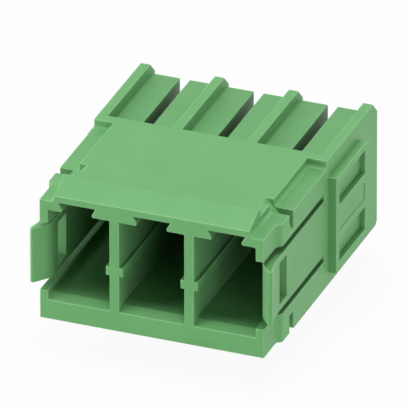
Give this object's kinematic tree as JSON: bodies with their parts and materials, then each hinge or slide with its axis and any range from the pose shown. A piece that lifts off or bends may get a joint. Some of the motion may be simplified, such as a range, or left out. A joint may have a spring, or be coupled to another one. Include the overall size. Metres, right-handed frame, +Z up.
{
  "type": "pcb header connector",
  "caption": "Board header with open mating chambers, flared side latch arms, a locking lip, dovetail keyways and solder legs below.",
  "frame": {"origin": "on the board face, under the middle of the housing from the mating face to the rear ribs", "axes": "+X across the poles, +Y from the mating face to the rear, +Z up from the board"},
  "size_m": [0.0256, 0.0293, 0.018],
  "materials": {
    "green_polyamide": "satin",
    "tinned_copper": "satin"
  },
  "bodies": {
    "root": {"housing": "green_polyamide", "contact_1": "tinned_copper", "contact_2": "tinned_copper", "contact_3": "tinned_copper"}
  },
  "joints": []
}
